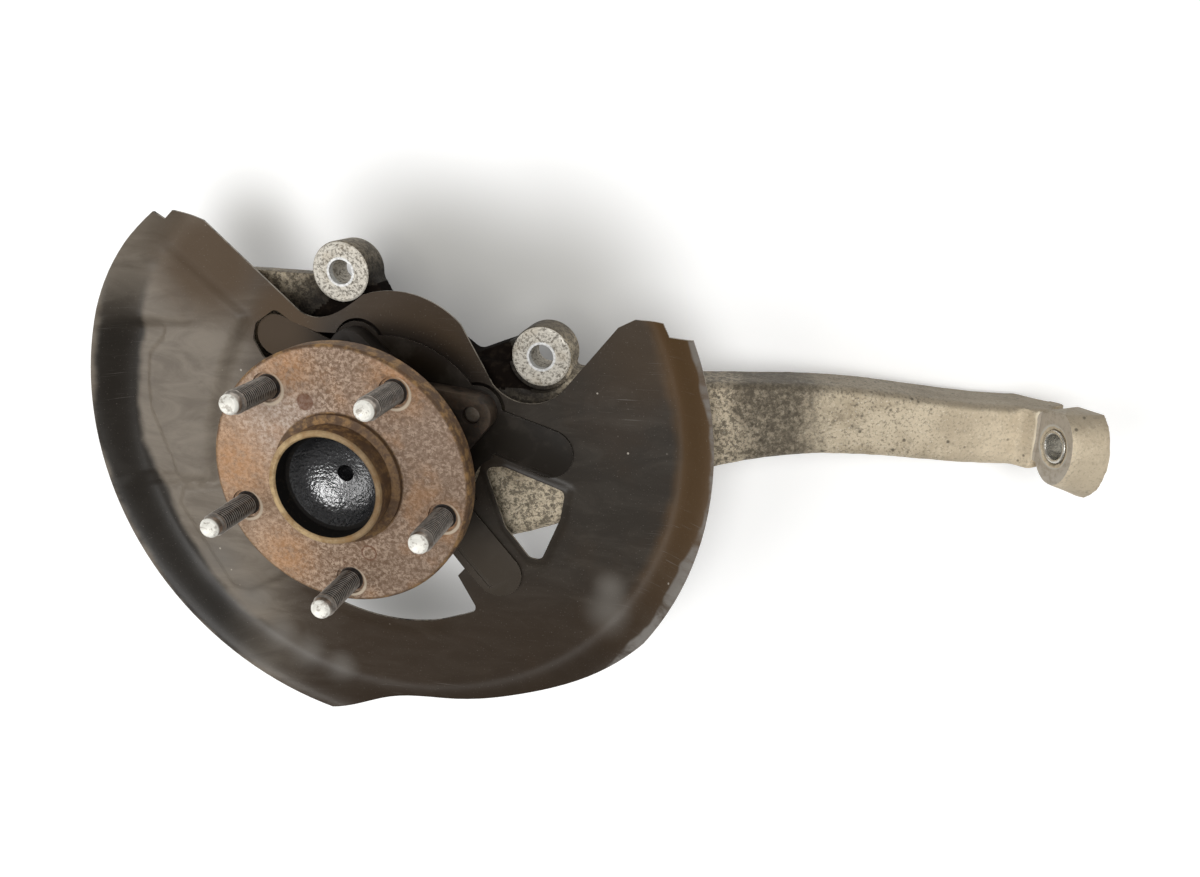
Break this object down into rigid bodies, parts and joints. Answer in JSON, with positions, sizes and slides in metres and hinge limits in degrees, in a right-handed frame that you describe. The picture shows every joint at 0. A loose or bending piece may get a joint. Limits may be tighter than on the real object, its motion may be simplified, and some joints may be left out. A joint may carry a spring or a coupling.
{
  "type": "steering knuckle",
  "caption": "Used front steering knuckle: cast arm with ball joint eye, caliper ears, pressed dust shield and a studded wheel hub that turns on its bearing.",
  "frame": {"origin": "middle of the hub flange's outer face, where the wheel's axis crosses it", "axes": "+Z along the wheel axis, outboard and up as it lies; +X towards the ball joint eye of the long arm"},
  "size_m": [0.5726, 0.3061, 0.19],
  "materials": {
    "cast_aluminium": "weathered as-cast aluminium with machined faces",
    "bush_steel": "machined steel",
    "shield_sheet": "aged dark satin paint over pressed steel",
    "plate_sheet": "aged dark satin paint over pressed steel",
    "hub_forging": "rust-stained forged steel",
    "bearing_steel": "ground bearing steel, stained outside",
    "roller_steel": "polished",
    "cage_polymer": "moulded",
    "seal_rubber": "moulded",
    "encoder_sheet": "bonded magnetic ring",
    "cap_sheet": "plated pressed steel",
    "stud_steel": "dark rolled thread, bright ends",
    "bolt_steel": "stained plating"
  },
  "bodies": {
    "carrier": {"knuckle": "cast_aluminium", "ball_joint_bush": "bush_steel", "dust_shield": "shield_sheet", "shield_mounting_plate": "plate_sheet", "bearing_outer_ring": "bearing_steel", "outboard_seal": "seal_rubber", "bearing_rear_cap": "cap_sheet", "hub_bolt_1": "bolt_steel", "hub_bolt_2": "bolt_steel", "hub_bolt_3": "bolt_steel", "hub_bolt_4": "bolt_steel"},
    "wheel_hub": {"hub": "hub_forging", "bearing_inner_ring": "bearing_steel", "encoder_ring": "encoder_sheet", "wheel_stud_1": "stud_steel", "wheel_stud_2": "stud_steel", "wheel_stud_3": "stud_steel", "wheel_stud_4": "stud_steel", "wheel_stud_5": "stud_steel"},
    "outboard_row": {"outboard_rollers": "roller_steel", "outboard_cage": "cage_polymer"},
    "inboard_row": {"inboard_rollers": "roller_steel", "inboard_cage": "cage_polymer"}
  },
  "joints": [
    {"name": "hub_spin", "type": "hinge", "parent": "carrier", "child": "wheel_hub", "pos_m": [0, 0, 0], "axis": [0, 0, 1], "continuous": true},
    {"name": "outboard_row_orbit", "type": "hinge", "parent": "carrier", "child": "outboard_row", "pos_m": [0, 0, -0.033], "axis": [0, 0, 1], "continuous": true},
    {"name": "inboard_row_orbit", "type": "hinge", "parent": "carrier", "child": "inboard_row", "pos_m": [0, 0, -0.073], "axis": [0, 0, 1], "continuous": true}
  ],
  "couplings": [
    {"joint": "outboard_row_orbit", "follows": "hub_spin", "ratio": 0.432},
    {"joint": "inboard_row_orbit", "follows": "hub_spin", "ratio": 0.432}
  ]
}
